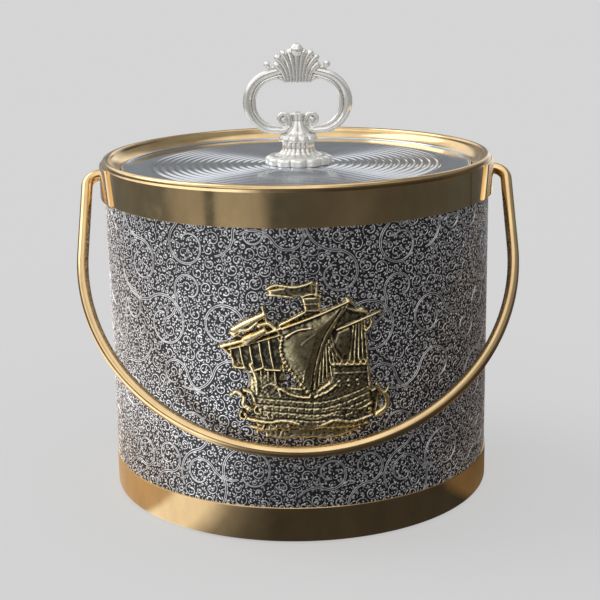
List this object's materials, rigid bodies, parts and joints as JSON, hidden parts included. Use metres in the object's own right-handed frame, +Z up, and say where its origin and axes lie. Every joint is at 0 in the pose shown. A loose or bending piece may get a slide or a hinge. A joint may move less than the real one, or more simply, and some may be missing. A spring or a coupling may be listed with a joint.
{
  "type": "ice bucket",
  "caption": "Round insulated ice bucket covered in vine-scroll brocade with polished gold bands, a galleon medallion, a swinging bail handle and a lift-off grooved lid with an ornate pull.",
  "frame": {"origin": "centre of the flat underside, on the bucket's axis, where it rests", "axes": "+Z up along the bucket's axis; the medallion faces -Y; the bail's pivots lie on an axis along X"},
  "size_m": [0.2278, 0.2097, 0.2349],
  "materials": {
    "shell_steel": "satin",
    "brocade": "black vinyl with a printed silver-grey vine scroll",
    "polished_gold": "polished",
    "antique_gold": "cast relief, gold on the heights and dark in the hollows",
    "base_board": "matt pressed board",
    "base_felt": "felt",
    "liner_plastic": "gloss",
    "foam": "expanded foam",
    "seal_rubber": "matt",
    "spring_steel": "satin",
    "lid_chrome": "mirror",
    "silver_plate": "bright silver plate",
    "screw_steel": "zinc plated"
  },
  "bodies": {
    "bucket": {"outer_shell": "shell_steel", "brocade_wrap": "brocade", "top_band": "polished_gold", "bottom_band": "polished_gold", "base_disc": "base_board", "base_pad": "base_felt", "inner_liner": "liner_plastic", "insulation_sleeve": "foam", "insulation_disc": "foam", "rim_gasket": "seal_rubber", "galleon_medallion": "antique_gold", "medallion_push_nuts": "spring_steel", "ear_right": "polished_gold", "ear_left": "polished_gold"},
    "bail": {"bail_handle": "polished_gold", "bail_push_nuts": "spring_steel"},
    "lid": {"lid_disc": "lid_chrome", "lid_liner": "liner_plastic", "lid_insulation": "foam", "lid_seal": "seal_rubber", "lid_pull": "silver_plate", "pull_screw": "screw_steel", "pull_washer": "screw_steel"}
  },
  "joints": [
    {"name": "bail_swing", "type": "hinge", "parent": "bucket", "child": "bail", "pos_m": [0, 0, 0.1676], "axis": [-1, 0, 0], "range_deg": [0, 277.3]},
    {"name": "lid_lift", "type": "slide", "parent": "bucket", "child": "lid", "axis": [0, 0, 1], "range_m": [0, 0.08]}
  ]
}
